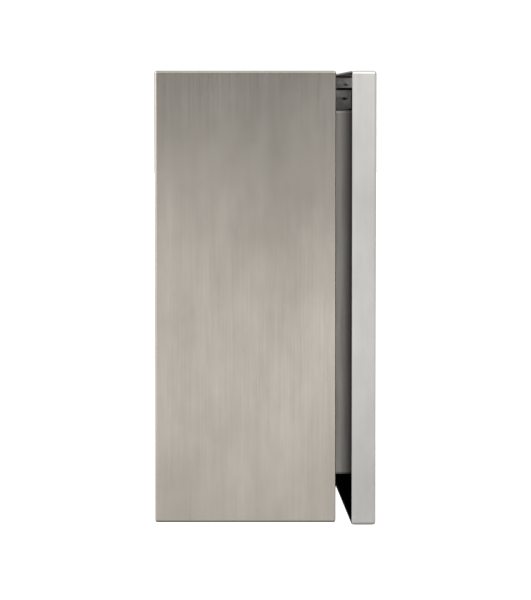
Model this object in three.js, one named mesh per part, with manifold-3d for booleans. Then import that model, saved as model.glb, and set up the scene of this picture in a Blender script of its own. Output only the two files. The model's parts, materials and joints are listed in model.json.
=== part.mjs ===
// Standpipe cabinet: a wall-hung, gasketed stainless box with a side-hinged pan door standing ajar,
// and the angle hose valve that it houses. Millimetres, +Z up, the front faces -Y.
// The origin is the centre of the back panel's wall face, and the hinges are on the +X side.

import * as THREE from 'three';
import { mergeVertices } from 'three/addons/utils/BufferGeometryUtils.js';
import Module from 'manifold-3d';

const wasm = await Module();
wasm.setup();

// ---------- driving dimensions ----------

const gap = 0.3;                 // running gap kept between neighbouring pieces
const cabinet = { width: 457, height: 457, depth: 183, sheet: 1.2, bend: 2.4 };
const band = { top: 40, side: 40, bottom: 45 };          // inward return round the front of the box
const collar = { sheet: 1.5, reach: 22, corner: 2.2 };     // lip standing forward from the band
const door = { thick: 24.5, sheet: 1.5, bend: 2.4, closedGap: 4.5, ajar: 1.5, drop: 2.6 };
const seal = { width: 12, margin: 1.7, thick: 4.7, corner: 8 };
const bottomSeal = { thick: 2.4, end: 6 };
const hinge = {
  inboard: 8, ahead: 19, armTop: 17.7, armTall: 8, eye: 5, pin: 2, arm: 2, armBack: 1.5, web: 18,
  foot: 31, footTall: 24, pad: 2.2, bracket: 11.5, plate: 2.4, back: 12, side: 9,
  head: 3.6, headTall: 2, clip: 4.4, clipTall: 1, tail: 3, screwIn: 25, screwStep: 8, screwHead: 3,
};
const lock = {
  fromEdge: 64, barrel: 9.2, bezel: 14, bezelTall: 1.8, core: 5.7, reach: 19, tongue: 2.5, hub: 7,
  housing: 26, nut: 25, nutTall: 6, square: 3.5, key: 0.9, keyLong: 4.4, keyDeep: 1.6, recess: 0.6,
  screw: 5.2, shank: 1.7, shankLong: 7, headTall: 3, bite: 2,
};
const keeper = { from: 28, to: 54, tall: 44, thick: 2.5, corner: 3 };
const riser = { x: 60, y: -80, outer: 36.5, inner: 31.4, hole: 41, top: -132 };
const valve = {
  inlet: -150, seat: -92, outletZ: -60, top: -18, barrel: 46, chamber: 36, outlet: 38.9, branch: 41,
  bore: 29, port: 26, outletEnd: -32, stem: 7.6, hub: 50, hubTall: 26, slope: 6, branchLong: 64,
  ledge: 28, ring: 34, ringTall: 8,
};
const disc = { washer: 30, washerTall: 3.4, holder: 31, plate: 7, neck: 13, tall: 22, socket: 8, lift: 4 };
const cover = {
  gasket: 1.9, seat: 45, spigot: 8, hex: 96, hexTall: 15, neck: 20, neckTop: 22, well: 13, wellLow: 8,
};
const packing = { outer: 12.7, low: 8.3, high: 16, nut: 44, nutLow: 22.3, nutHigh: 36 };
const spindle = { slack: 0.4, foot: 12.3, shoulder: 4, slope: 3, tip: 5, above: 12 };
const cap = { wall: 6, floor: 3.6, face: 6, boss: 4, step: 12, cover: 22, lug: 5, lugOut: 8, lugIn: 12 };
const wheel = {
  rim: 46, tube: 6, hub: 14, low: 58, high: 76, spokes: 5, spokeWide: 9, spokeTall: 7, nut: 20, nutTall: 7,
};
const clamp = {
  z: -185, plateFront: -43.2, plate: 3, width: 120, tall: 30, rod: 4, radius: 41, legEnd: 30,
  nut: 15, nutTall: 6.5,
};
const grommet = { lip: 5, thick: 3, crown: 4 };
const through = 5;               // how far a cutter runs past the face it opens
const round = { small: 12, middle: 20, large: 32 };       // sides of small, middle and large rounds
const wallHole = { x: 170, z: 170, radius: 4.5 };

const halfWidth = cabinet.width / 2;
const halfHeight = cabinet.height / 2;
const doorBack = cabinet.depth + door.closedGap;
const doorFront = doorBack + door.thick;
const skinInside = doorFront - door.sheet - gap;          // back of what lies against the door's skin
const hingeX = halfWidth - hinge.inboard;
const hingeY = -(cabinet.depth + hinge.ahead);
const openingHigh = halfHeight - band.top;
const openingLow = -halfHeight + band.bottom;
const openingWide = cabinet.width - 2 * band.side;

// ---------- materials ----------

function finish(color, roughness, metalness) {
  return new THREE.MeshStandardMaterial({ color, roughness, metalness });
}

const stainless = finish(0xb9b4ab, 0.36, 1);
const foam = finish(0x131313, 0.95, 0);
const rubber = finish(0x1d1d1e, 0.8, 0);
const castBrass = finish(0xb08a4e, 0.42, 1);
const zincSteel = finish(0x9da0a2, 0.4, 1);
const redEnamel = finish(0xa3201b, 0.35, 0.1);
const chromeZinc = finish(0xc9cbcd, 0.2, 1);
const packingFibre = finish(0x6d6a60, 0.9, 0);

// ---------- solids ----------

function toSolid(geometry) {
  const bare = geometry.clone();
  bare.deleteAttribute('normal');
  bare.deleteAttribute('uv');
  const merged = mergeVertices(bare, 1e-3);
  return new wasm.Manifold(new wasm.Mesh({
    numProp: 3,
    vertProperties: new Float32Array(merged.attributes.position.array),
    triVerts: new Uint32Array(merged.index.array),
  }));
}

function toGeometry(solid) {
  const data = solid.getMesh();
  const geometry = new THREE.BufferGeometry();
  geometry.setAttribute('position', new THREE.BufferAttribute(new Float32Array(data.vertProperties), 3));
  geometry.setIndex(new THREE.BufferAttribute(new Uint32Array(data.triVerts), 1));
  const flat = geometry.toNonIndexed();
  flat.computeVertexNormals();
  return flat;
}

function piece(name, solid, material) {
  const mesh = new THREE.Mesh(toGeometry(solid), material);
  mesh.name = name;
  return mesh;
}

function box(low, high) {
  const size = high.map((value, i) => value - low[i]);
  const geometry = new THREE.BoxGeometry(...size);
  geometry.translate(...low.map((value, i) => value + size[i] / 2));
  return toSolid(geometry);
}

function roundedRect(left, right, low, high, radius) {
  const shape = new THREE.Shape();
  shape.moveTo(left + radius, low);
  shape.lineTo(right - radius, low);
  shape.absarc(right - radius, low + radius, radius, -Math.PI / 2, 0);
  shape.lineTo(right, high - radius);
  shape.absarc(right - radius, high - radius, radius, 0, Math.PI / 2);
  shape.lineTo(left + radius, high);
  shape.absarc(left + radius, high - radius, radius, Math.PI / 2, Math.PI);
  shape.lineTo(left, low + radius);
  shape.absarc(left + radius, low + radius, radius, Math.PI, Math.PI * 1.5);
  return shape;
}

// A block standing off the wall from y = -back to y = -front, its outline given in X and Z.
function slab([left, right, low, high], corner, back, front) {
  const shape = roundedRect(left, right, low, high, corner);
  const flat = { depth: front - back, bevelEnabled: false, curveSegments: 4 };
  const geometry = new THREE.ExtrudeGeometry(shape, flat);
  geometry.rotateX(Math.PI / 2);
  geometry.translate(0, -back, 0);
  return toSolid(geometry);
}

// The same block with all its edges rounded by the sheet's bend radius.
function foldedBlock(width, height, bend, back, front, rise = 0) {
  const w = width / 2 - bend;
  const h = height / 2 - bend;
  const shape = roundedRect(-w, w, -h, h, bend * 0.4);
  const geometry = new THREE.ExtrudeGeometry(shape, {
    depth: front - back - 2 * bend,
    bevelThickness: bend,
    bevelSize: bend,
    bevelSegments: 3,
    curveSegments: 3,
  });
  geometry.rotateX(Math.PI / 2);
  geometry.translate(0, -back - bend, rise);
  return toSolid(geometry);
}

// A surface of revolution about +Z: profile points are [radius, z], and close on the axis or on themselves.
function revolved(profile, sides) {
  const points = profile.map(([r, z]) => new THREE.Vector2(r, z));
  const geometry = new THREE.LatheGeometry(points, sides);
  geometry.rotateX(Math.PI / 2);
  return geometry;
}

function turned(profile, x, y, sides = round.middle) {
  const geometry = revolved(profile, sides);
  geometry.translate(x, y, 0);
  return toSolid(geometry);
}

// The closed round profile of a ring's bar, centred at [r, z].
function circle(r, z, radius) {
  const points = [];
  for (let i = 0; i <= round.small; i += 1) {
    const angle = (i / round.small) * 2 * Math.PI - Math.PI / 2;
    points.push([r + radius * Math.cos(angle), z + radius * Math.sin(angle)]);
  }
  return points;
}

function rod(radius, low, high, x, y, sides = round.middle) {
  return turned([[0, low], [radius, low], [radius, high], [0, high]], x, y, sides);
}

function tube(inner, outer, low, high, x, y, sides = round.middle) {
  return turned([[inner, low], [outer, low], [outer, high], [inner, high], [inner, low]], x, y, sides);
}

// A rod lying along Y, from y = -back to y = -front.
function rodAlongY(radius, back, front, x, z, sides = round.small) {
  const geometry = revolved([[0, back], [radius, back], [radius, front], [0, front]], sides);
  geometry.rotateX(Math.PI / 2);
  geometry.translate(x, 0, z);
  return toSolid(geometry);
}

// A rod lying along X, from x = left to x = right.
function rodAlongX(radius, left, right, y, z, sides = round.middle) {
  const geometry = revolved([[0, left], [radius, left], [radius, right], [0, right]], sides);
  geometry.rotateY(Math.PI / 2);
  geometry.translate(0, y, z);
  return toSolid(geometry);
}

// Pieces that lie along -Y are made upright about the origin, with z as the distance from the wall.
function laidForward(mesh, x, z) {
  mesh.rotation.x = Math.PI / 2;
  mesh.position.set(x, 0, z);
  return mesh;
}

// ---------- cabinet ----------

function cabinetBody() {
  const { width, height, depth, sheet, bend } = cabinet;
  const opening = [-openingWide / 2, openingWide / 2, openingLow, openingHigh];
  let shell = foldedBlock(width, height, bend, 0, depth);
  const inside = 2 * sheet;
  shell = shell.subtract(foldedBlock(width - inside, height - inside, bend - sheet, sheet, depth - sheet));
  shell = shell.subtract(slab(opening, collar.corner, depth - through, depth + through));
  shell = shell.subtract(rod(
    riser.hole, -halfHeight - through, -halfHeight + through, riser.x, riser.y, round.large,
  ));
  for (const x of [-wallHole.x, wallHole.x]) {
    for (const z of [-wallHole.z, wallHole.z]) {
      shell = shell.subtract(rodAlongY(wallHole.radius, -through, through, x, z));
    }
  }
  return piece('cabinet_body', shell, stainless);
}

function doorCollar() {
  const { sheet, reach, corner } = collar;
  const half = openingWide / 2 - gap;
  const low = openingLow + gap;
  const high = openingHigh - gap;
  const back = cabinet.depth - cabinet.sheet;
  const front = cabinet.depth + reach;
  const outer = slab([-half, half, low, high], corner - gap, back, front);
  const inner = slab(
    [-half + sheet, half - sheet, low + sheet, high - sheet], corner - gap - sheet,
    back - through, front + through,
  );
  return piece('door_collar', outer.subtract(inner), stainless);
}

function lockKeeper() {
  const left = -halfWidth + keeper.from;
  const right = -halfWidth + keeper.to;
  const front = cabinet.depth - cabinet.sheet - gap;
  const outline = [left, right, -keeper.tall / 2, keeper.tall / 2];
  return piece('lock_keeper', slab(outline, keeper.corner, front - keeper.thick, front), stainless);
}

function riserGrommet() {
  const inside = -halfHeight + cabinet.sheet + gap;
  const bore = riser.outer + gap;
  const profile = [
    [bore, -halfHeight], [riser.hole - gap, -halfHeight], [riser.hole - gap, inside],
    [riser.hole + grommet.lip, inside], [riser.hole + grommet.lip, inside + grommet.thick],
    [bore, inside + grommet.crown], [bore, -halfHeight],
  ];
  return piece('riser_grommet', turned(profile, riser.x, riser.y, round.large), rubber);
}

// ---------- hinges ----------

function hexagon(acrossCorners, low, high, x, y) {
  return rod(acrossCorners / 2, low, high, x, y, 6);
}

// Heights here are those of the arm's top face: the door's bracket and pad stand above it.
function hingeArm(name, top) {
  const low = top - hinge.armTall;
  const middle = top - hinge.armTall / 2;
  const bandFront = -cabinet.depth - gap;
  const armBack = hingeY - hinge.armBack;
  const webX = hingeX - hinge.web;
  let arm = rod(hinge.eye, low, top, hingeX, hingeY);
  arm = arm.add(box([webX - hinge.arm, armBack - hinge.arm, low], [hingeX, armBack, top]));
  arm = arm.add(box([webX - hinge.arm, armBack - hinge.arm, low], [webX, bandFront, top]));
  const footLow = middle - hinge.footTall / 2;
  const footHigh = middle + hinge.footTall / 2;
  arm = arm.add(box([hingeX - hinge.foot, bandFront - hinge.arm, footLow], [webX, bandFront, footHigh]));
  arm = arm.subtract(rod(hinge.pin + gap, low - through, top + through, hingeX, hingeY));
  return piece(name, arm, stainless);
}

// The door bracket's and the pad's outline: the corner between the door's hinge side and its skin.
const hingeCorner = {
  left: hingeX - hinge.side,
  right: halfWidth - door.sheet - gap,
  front: -skinInside,
  back: hingeY + hinge.back,
};

function hingePad(name, top) {
  const { left, right, front, back } = hingeCorner;
  const low = top + gap;
  const high = low + hinge.pad;
  const pad = box([left, front, low], [right, back, high]);
  const hole = rod(hinge.pin + gap, low - through, high + through, hingeX, hingeY);
  return piece(name, pad.subtract(hole), rubber);
}

function hingeBracket(name, top) {
  const { left, right, front, back } = hingeCorner;
  const low = top + hinge.pad + 2 * gap;
  const high = low + hinge.bracket;
  const { plate } = hinge;
  let bracket = box([left, front, low], [right, back, low + plate]);
  bracket = bracket.add(box([right - plate, front, low], [right, back, high]));
  bracket = bracket.add(box([left, front, low], [right, front + plate, high]));
  bracket = bracket.subtract(rod(hinge.pin + gap, low - through, low + plate + through, hingeX, hingeY));
  return piece(name, bracket, stainless);
}

function hingePin(name, top) {
  const { pin, head, headTall, tail } = hinge;
  const seat = top + hinge.pad + hinge.plate + 3 * gap;
  const low = top - hinge.armTall - tail;
  const lead = pin * 0.3;
  const crown = headTall * 0.4;
  const profile = [
    [0, low], [pin - lead, low], [pin, low + lead], [pin, seat], [head, seat],
    [head, seat + headTall - crown], [head - crown, seat + headTall], [0, seat + headTall],
  ];
  return piece(name, turned(profile, hingeX, hingeY), zincSteel);
}

function hingeClip(name, top) {
  const high = top - hinge.armTall - gap;
  const clip = tube(hinge.pin + gap, hinge.clip, high - hinge.clipTall, high, hingeX, hingeY);
  return piece(name, clip, zincSteel);
}

function hingeScrew(name, z) {
  const seatY = cabinet.depth + gap + hinge.arm + gap;
  const wide = hinge.screwHead;
  const tall = wide * 0.6;
  const profile = [
    [0, seatY], [wide, seatY], [wide, seatY + tall / 2], [wide * 0.7, seatY + tall], [0, seatY + tall],
  ];
  const head = turned(profile, 0, 0, round.small);
  return laidForward(piece(name, head, zincSteel), hingeX - hinge.screwIn, z);
}

// ---------- door ----------

// The pan is a little taller than the box, and hangs below it by the difference.
function doorPan() {
  const { sheet, bend, drop } = door;
  const spare = door.thick;
  const height = cabinet.height + drop;
  let pan = foldedBlock(cabinet.width, height, bend, doorBack - spare, doorFront, -drop / 2);
  pan = pan.subtract(foldedBlock(
    cabinet.width - 2 * sheet, height - 2 * sheet, bend - sheet,
    doorBack - 2 * spare, doorFront - sheet, -drop / 2,
  ));
  const far = cabinet.width;
  pan = pan.subtract(box([-far, -doorBack, -far], [far, 0, far]));
  const lockX = -halfWidth + lock.fromEdge;
  pan = pan.subtract(rodAlongY(
    lock.barrel + gap, doorFront - through, doorFront + through, lockX, 0, round.middle,
  ));
  return piece('door_pan', pan, stainless);
}

function doorGasket() {
  const half = openingWide / 2 + seal.margin;
  const low = openingLow - seal.margin;
  const high = openingHigh + seal.margin;
  const back = skinInside - seal.thick;
  const front = skinInside;
  const w = seal.width;
  const outer = slab([-half, half, low, high], seal.corner, back, front);
  const inner = slab(
    [-half + w, half - w, low + w, high - w], seal.corner / 3, back - through, front + through,
  );
  return piece('door_gasket', outer.subtract(inner), foam);
}

// A strip that lines the door's bottom flange.
function doorBottomSeal() {
  const low = -halfHeight - door.drop + door.sheet + gap;
  const half = halfWidth - bottomSeal.end;
  const strip = box([-half, -skinInside, low], [half, -doorBack - gap, low + bottomSeal.thick]);
  return piece('door_bottom_seal', strip, foam);
}

// ---------- cam lock ----------

const lockX = -halfWidth + lock.fromEdge;
const housingBack = doorFront - lock.housing;
const tongueFront = cabinet.depth - cabinet.sheet - 2 * gap - keeper.thick;
const tongueBack = tongueFront - lock.tongue;

function lockHousing() {
  const bezelBack = doorFront + gap;
  const bezelFront = bezelBack + lock.bezelTall;
  const bore = lock.core + gap;
  const profile = [
    [bore, housingBack], [lock.barrel, housingBack], [lock.barrel, bezelBack], [lock.bezel, bezelBack],
    [lock.bezel, bezelFront - 2 * lock.recess], [lock.bezel - 2 * lock.recess, bezelFront],
    [bore, bezelFront], [bore, housingBack],
  ];
  return laidForward(piece('lock_housing', turned(profile, 0, 0), chromeZinc), lockX, 0);
}

function lockNut() {
  const back = skinInside - lock.nutTall;
  let nut = hexagon(lock.nut, back, skinInside, 0, 0);
  nut = nut.subtract(rod(lock.barrel + gap, back - through, skinInside + through, 0, 0));
  return laidForward(piece('lock_nut', nut, zincSteel), lockX, 0);
}

function lockCore() {
  const { square, key, keyLong, keyDeep, bite } = lock;
  const front = doorFront + gap + lock.bezelTall - lock.recess;
  const shoulder = tongueFront + gap;
  let core = rod(lock.core, shoulder, front, 0, 0, round.middle);
  core = core.add(box([-square, -square, tongueBack + gap], [square, square, shoulder + gap]));
  core = core.subtract(box([-key, -keyLong, front - keyDeep], [key, keyLong, front + through]));
  const threadEnd = tongueBack + lock.shankLong + bite;
  core = core.subtract(rod(lock.shank + gap, tongueBack - through, threadEnd, 0, 0, round.small));
  return laidForward(piece('lock_core', core, chromeZinc), lockX, 0);
}

function lockTongue() {
  const { hub } = lock;
  let tongue = rod(hub, tongueBack, tongueFront, 0, 0, round.middle);
  tongue = tongue.add(box([-hub, -lock.reach, tongueBack], [hub, 0, tongueFront]));
  const hole = lock.square + gap;
  const drift = [-hole, -hole, tongueBack - through];
  tongue = tongue.subtract(box(drift, [hole, hole, tongueFront + through]));
  return laidForward(piece('lock_tongue', tongue, zincSteel), lockX, 0);
}

function tongueScrew() {
  const { screw, shank, shankLong, headTall } = lock;
  const seatY = tongueBack - gap;
  const low = seatY - headTall;
  const edge = headTall / 3;
  const profile = [
    [0, low], [screw - edge, low], [screw, low + edge], [screw, seatY],
    [shank, seatY], [shank, seatY + shankLong], [0, seatY + shankLong],
  ];
  return laidForward(piece('tongue_screw', turned(profile, 0, 0), zincSteel), lockX, 0);
}

// ---------- riser and its clamp ----------

function riserNipple() {
  const low = -halfHeight + gap;
  const pipe = tube(riser.inner, riser.outer, low, riser.top, riser.x, riser.y, round.large);
  return piece('riser_nipple', pipe, zincSteel);
}

function clampBracket() {
  const { z, plateFront, plate, width, tall, radius, rod: rodRadius } = clamp;
  const left = riser.x - width / 2;
  const right = riser.x + width / 2;
  const wall = -cabinet.sheet - gap;
  let bracket = box([left, plateFront, z - tall / 2], [right, plateFront + plate, z + tall / 2]);
  for (const x of [left, right - plate]) {
    bracket = bracket.add(box([x, plateFront, z - tall / 2], [x + plate, wall, z + tall / 2]));
  }
  for (const x of [riser.x - radius, riser.x + radius]) {
    const front = -plateFront;
    bracket = bracket.subtract(rodAlongY(rodRadius + gap, front - plate - through, front + through, x, z));
  }
  return piece('clamp_bracket', bracket, zincSteel);
}

function clampBolt() {
  const { z, radius, rod: thick, legEnd } = clamp;
  let bolt = turned(circle(radius, z, thick), riser.x, riser.y, round.large);
  const far = 2 * radius;
  bolt = bolt.intersect(box([riser.x - far, riser.y - far, z - far], [riser.x + far, riser.y, z + far]));
  for (const x of [riser.x - radius, riser.x + radius]) {
    bolt = bolt.add(rodAlongY(thick, legEnd, -riser.y + gap, x, z));
  }
  return piece('clamp_u_bolt', bolt, zincSteel);
}

function clampNut(name, x) {
  const front = -(clamp.plateFront + clamp.plate + gap);
  const back = front - clamp.nutTall;
  let nut = hexagon(clamp.nut, back, front, 0, 0);
  nut = nut.subtract(rod(clamp.rod + gap, back - through, front + through, 0, 0, round.small));
  return laidForward(piece(name, nut, zincSteel), x, clamp.z);
}

// ---------- hose valve ----------

const seatLow = valve.seat - valve.ringTall;
const bonnetLow = valve.top + cover.gasket + 2 * gap;

function valveBody() {
  const { x, y } = riser;
  const { inlet, seat, top, barrel, chamber, outletZ, outletEnd, branch, bore, hub, hubTall } = valve;
  const shell = [
    [0, inlet], [hub, inlet], [hub, inlet + hubTall], [barrel, inlet + hubTall + valve.slope],
    [barrel, top], [0, top],
  ];
  let body = turned(shell, x, y, round.large);
  body = body.add(rodAlongX(branch, x - valve.branchLong, x, y, outletZ, round.large));
  body = body.add(rodAlongX(valve.outlet, outletEnd, x, y, outletZ, round.large));
  const pipe = riser.outer + gap;
  const pocket = valve.ring + gap;
  const hollow = [
    [0, inlet - through], [pipe, inlet - through], [pipe, riser.top + gap],
    [valve.ledge, riser.top + gap], [valve.ledge, seatLow], [pocket, seatLow], [pocket, seat],
    [chamber, seat], [chamber, top + through], [0, top + through],
  ];
  body = body.subtract(turned(hollow, x, y, round.large));
  body = body.subtract(rodAlongX(bore, outletEnd - through, x, y, outletZ, round.large));
  return piece('valve_body', body, castBrass);
}

function seatRing() {
  const ring = tube(valve.port, valve.ring, seatLow + gap, valve.seat, riser.x, riser.y, round.large);
  return piece('seat_ring', ring, castBrass);
}

function discWasher() {
  const low = valve.seat + gap;
  const washer = rod(disc.washer, low, low + disc.washerTall, riser.x, riser.y, round.large);
  return piece('disc_washer', washer, rubber);
}

function discHolder() {
  const { holder, plate, neck, tall, socket } = disc;
  const low = valve.seat + disc.lift;
  const bore = valve.stem + gap;
  const profile = [
    [0, low], [holder, low], [holder, low + plate], [neck, low + plate + 2], [neck, low + tall],
    [bore, low + tall], [bore, low + socket], [0, low + socket],
  ];
  return piece('disc_holder', turned(profile, riser.x, riser.y, round.large), castBrass);
}

function bonnetGasket() {
  const low = valve.top + gap;
  const ring = tube(valve.chamber, cover.seat, low, low + cover.gasket, riser.x, riser.y, round.large);
  return piece('bonnet_gasket', ring, packingFibre);
}

function bonnet() {
  const { spigot, hex, hexTall, neck, neckTop, well, wellLow } = cover;
  const low = valve.top - spigot;
  const { x, y } = riser;
  let solid = rod(valve.chamber - spindle.slack, low, bonnetLow + gap, x, y, round.large);
  solid = solid.add(hexagon(hex, bonnetLow, bonnetLow + hexTall, x, y));
  solid = solid.add(rod(neck, bonnetLow + gap, neckTop, x, y, round.middle));
  solid = solid.subtract(rod(valve.stem + spindle.slack, low - through, neckTop, x, y, round.middle));
  solid = solid.subtract(rod(well, wellLow, neckTop + through, x, y, round.middle));
  return piece('bonnet', solid, castBrass);
}

function packingRing() {
  const bore = valve.stem + spindle.slack;
  const ring = tube(bore, packing.outer, packing.low, packing.high, riser.x, riser.y, round.middle);
  return piece('packing_ring', ring, packingFibre);
}

function packingNut() {
  const { outer, high, nutLow, nutHigh } = packing;
  const { x, y } = riser;
  const low = high + gap;
  let nut = hexagon(packing.nut, nutLow, nutHigh, x, y);
  nut = nut.add(rod(outer, low, nutLow + gap, x, y, round.middle));
  nut = nut.subtract(rod(valve.stem + spindle.slack, low - through, nutHigh + through, x, y, round.middle));
  return piece('packing_nut', nut, castBrass);
}

function valveStem() {
  const { foot, shoulder, slope, tip, above } = spindle;
  const low = valve.seat + foot;
  const neckLow = wheel.high - shoulder;
  const high = wheel.high + above;
  const profile = [
    [0, low], [valve.stem, low], [valve.stem, neckLow], [tip, neckLow + slope], [tip, high - 1],
    [tip - 1, high], [0, high],
  ];
  return piece('valve_stem', turned(profile, riser.x, riser.y, round.middle), castBrass);
}

function handwheel() {
  const { rim, tube: thick, hub, low, high, spokes, spokeWide, spokeTall } = wheel;
  const inHub = hub / 5;
  const middle = low + thick;
  let solid = turned(circle(rim, middle, thick), 0, 0, round.large);
  for (let i = 0; i < spokes; i += 1) {
    const spoke = new THREE.BoxGeometry(rim - hub + inHub, spokeWide, spokeTall);
    spoke.translate((rim + hub - inHub) / 2, 0, middle);
    spoke.rotateZ((2 * Math.PI * i) / spokes);
    solid = solid.add(toSolid(spoke));
  }
  solid = solid.add(rod(hub, low, high, 0, 0, round.middle));
  solid = solid.subtract(rod(valve.stem + gap, low - through, high + through, 0, 0, round.middle));
  const mesh = piece('handwheel', solid, redEnamel);
  mesh.position.set(riser.x, riser.y, 0);
  return mesh;
}

function handwheelNut() {
  const low = wheel.high + gap;
  const high = low + wheel.nutTall;
  let nut = hexagon(wheel.nut, low, high, riser.x, riser.y);
  nut = nut.subtract(rod(spindle.tip + gap, low - through, high + through, riser.x, riser.y, round.middle));
  return piece('handwheel_nut', nut, zincSteel);
}

// ---------- outlet cap ----------

function outletCap() {
  const { y } = riser;
  const { outlet, outletEnd, outletZ } = valve;
  const { wall, face, boss, step, lug, lugOut, lugIn } = cap;
  const floor = outletEnd - cap.floor;
  const closedEnd = floor - face;
  const openEnd = outletEnd + cap.cover;
  const rim = outlet + wall;
  const reach = rim + lugOut;
  const lugX = closedEnd + lugIn;
  let solid = rodAlongX(rim, closedEnd, openEnd, y, outletZ, round.large);
  solid = solid.add(rodAlongX(rim - step, closedEnd - boss, openEnd, y, outletZ, round.large));
  solid = solid.add(rod(lug, outletZ - reach, outletZ + reach, lugX, y, round.small));
  solid = solid.add(rodAlongY(lug, -y - reach, -y + reach, lugX, outletZ));
  solid = solid.subtract(rodAlongX(outlet + gap, floor, openEnd + through, y, outletZ, round.large));
  return piece('outlet_cap', solid, castBrass);
}

function capGasket() {
  const { outlet, outletEnd, outletZ, bore } = valve;
  const left = outletEnd - cap.floor + gap;
  const right = outletEnd - gap;
  let ring = rodAlongX(outlet - gap, left, right, riser.y, outletZ, round.large);
  ring = ring.subtract(rodAlongX(bore, left - through, right + through, riser.y, outletZ, round.large));
  return piece('cap_gasket', ring, rubber);
}

// ---------- assembly ----------

const standpipeCabinet = new THREE.Group();
standpipeCabinet.add(cabinetBody(), doorCollar(), lockKeeper(), riserGrommet());

// The door's own frame turns about the hinge pins; everything in it is placed as if the door were shut.
const doorSwing = new THREE.Group();
doorSwing.position.set(hingeX, hingeY, 0);
doorSwing.rotation.z = THREE.MathUtils.degToRad(door.ajar);
const doorFrame = new THREE.Group();
doorFrame.position.set(-hingeX, -hingeY, 0);
doorSwing.add(doorFrame);
doorFrame.add(doorPan(), doorGasket(), doorBottomSeal());
doorFrame.add(lockHousing(), lockNut(), lockCore(), lockTongue(), tongueScrew());

const hingeTops = {
  upper: halfHeight - hinge.armTop,
  lower: -halfHeight + hinge.armTop + hinge.armTall,
};
for (const [place, top] of Object.entries(hingeTops)) {
  const middle = top - hinge.armTall / 2;
  standpipeCabinet.add(hingeArm(`hinge_arm_${place}`, top), hingePin(`hinge_pin_${place}`, top));
  standpipeCabinet.add(hingeClip(`hinge_clip_${place}`, top));
  standpipeCabinet.add(hingeScrew(`hinge_screw_${place}_a`, middle + hinge.screwStep));
  standpipeCabinet.add(hingeScrew(`hinge_screw_${place}_b`, middle - hinge.screwStep));
  doorFrame.add(hingePad(`hinge_pad_${place}`, top), hingeBracket(`hinge_bracket_${place}`, top));
}
standpipeCabinet.add(doorSwing);

standpipeCabinet.add(riserNipple(), clampBracket(), clampBolt());
standpipeCabinet.add(clampNut('clamp_nut_left', riser.x - clamp.radius));
standpipeCabinet.add(clampNut('clamp_nut_right', riser.x + clamp.radius));
standpipeCabinet.add(valveBody(), seatRing(), bonnetGasket(), bonnet(), packingRing(), packingNut());
standpipeCabinet.add(discWasher(), discHolder(), valveStem(), handwheel(), handwheelNut());
standpipeCabinet.add(outletCap(), capGasket());

export default standpipeCabinet;
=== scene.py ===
import json
import math

import bmesh
import bpy
from mathutils import Matrix, Vector


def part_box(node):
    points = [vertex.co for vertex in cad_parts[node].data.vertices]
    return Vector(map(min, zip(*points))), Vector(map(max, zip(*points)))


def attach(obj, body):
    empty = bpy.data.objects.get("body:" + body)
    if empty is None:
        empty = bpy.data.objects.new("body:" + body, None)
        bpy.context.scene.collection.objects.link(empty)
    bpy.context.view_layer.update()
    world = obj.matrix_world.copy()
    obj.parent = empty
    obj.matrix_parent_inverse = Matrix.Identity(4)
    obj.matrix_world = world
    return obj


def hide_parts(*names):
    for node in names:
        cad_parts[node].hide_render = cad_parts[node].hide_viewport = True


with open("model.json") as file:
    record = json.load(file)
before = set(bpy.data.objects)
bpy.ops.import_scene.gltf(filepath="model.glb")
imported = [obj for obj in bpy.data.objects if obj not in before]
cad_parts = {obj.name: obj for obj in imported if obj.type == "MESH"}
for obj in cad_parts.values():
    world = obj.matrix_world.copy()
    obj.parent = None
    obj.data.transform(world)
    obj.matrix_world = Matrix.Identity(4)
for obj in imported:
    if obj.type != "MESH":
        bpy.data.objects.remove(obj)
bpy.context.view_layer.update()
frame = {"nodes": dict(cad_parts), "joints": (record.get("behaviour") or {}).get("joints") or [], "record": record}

mm = 0.001
print("frame loaded:", len(frame["nodes"]), "nodes")


# ---- small helpers ----

def deselectAll():
    if bpy.context.object and bpy.context.object.mode != "OBJECT":
        bpy.ops.object.mode_set(mode="OBJECT")
    bpy.ops.object.select_all(action="DESELECT")


def pickOnly(piece):
    deselectAll()
    piece.select_set(True)
    bpy.context.view_layer.objects.active = piece


def startEdit(piece):
    pickOnly(piece)
    bpy.ops.object.mode_set(mode="EDIT")


def endEdit():
    bpy.ops.object.mode_set(mode="OBJECT")


def pickFaces(piece, test):
    bpy.ops.mesh.select_mode(type="FACE")
    bpy.ops.mesh.select_all(action="DESELECT")
    mesh = bmesh.from_edit_mesh(piece.data)
    for face in mesh.faces:
        face.select_set(bool(test(face.calc_center_median(), face.normal)))
    bmesh.update_edit_mesh(piece.data)


def pickEdges(piece, test):
    bpy.ops.mesh.select_mode(type="EDGE")
    bpy.ops.mesh.select_all(action="DESELECT")
    mesh = bmesh.from_edit_mesh(piece.data)
    for edge in mesh.edges:
        start, end = (v.co for v in edge.verts)
        edge.select_set(bool(test((start + end) / 2, end - start)))
    bmesh.update_edit_mesh(piece.data)


def applyModifier(piece, kind, **settings):
    pickOnly(piece)
    modifier = piece.modifiers.new(kind.lower(), kind)
    for name, value in settings.items():
        setattr(modifier, name, value)
    bpy.ops.object.modifier_apply(modifier=modifier.name)


def bevelPiece(piece, width, segments=3, angle=40):
    applyModifier(piece, "BEVEL", width=width, segments=segments, limit_method="ANGLE",
                  angle_limit=math.radians(angle))


def applyPlace(piece):
    pickOnly(piece)
    bpy.ops.object.transform_apply(location=True, rotation=True, scale=True)


def addBlock(name, low, high):
    deselectAll()
    centre = [(a + b) / 2 for a, b in zip(low, high)]
    size = [b - a for a, b in zip(low, high)]
    bpy.ops.mesh.primitive_cube_add(size=1, location=centre, scale=size)
    piece = bpy.context.object
    piece.name = name
    applyPlace(piece)
    return piece


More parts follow.
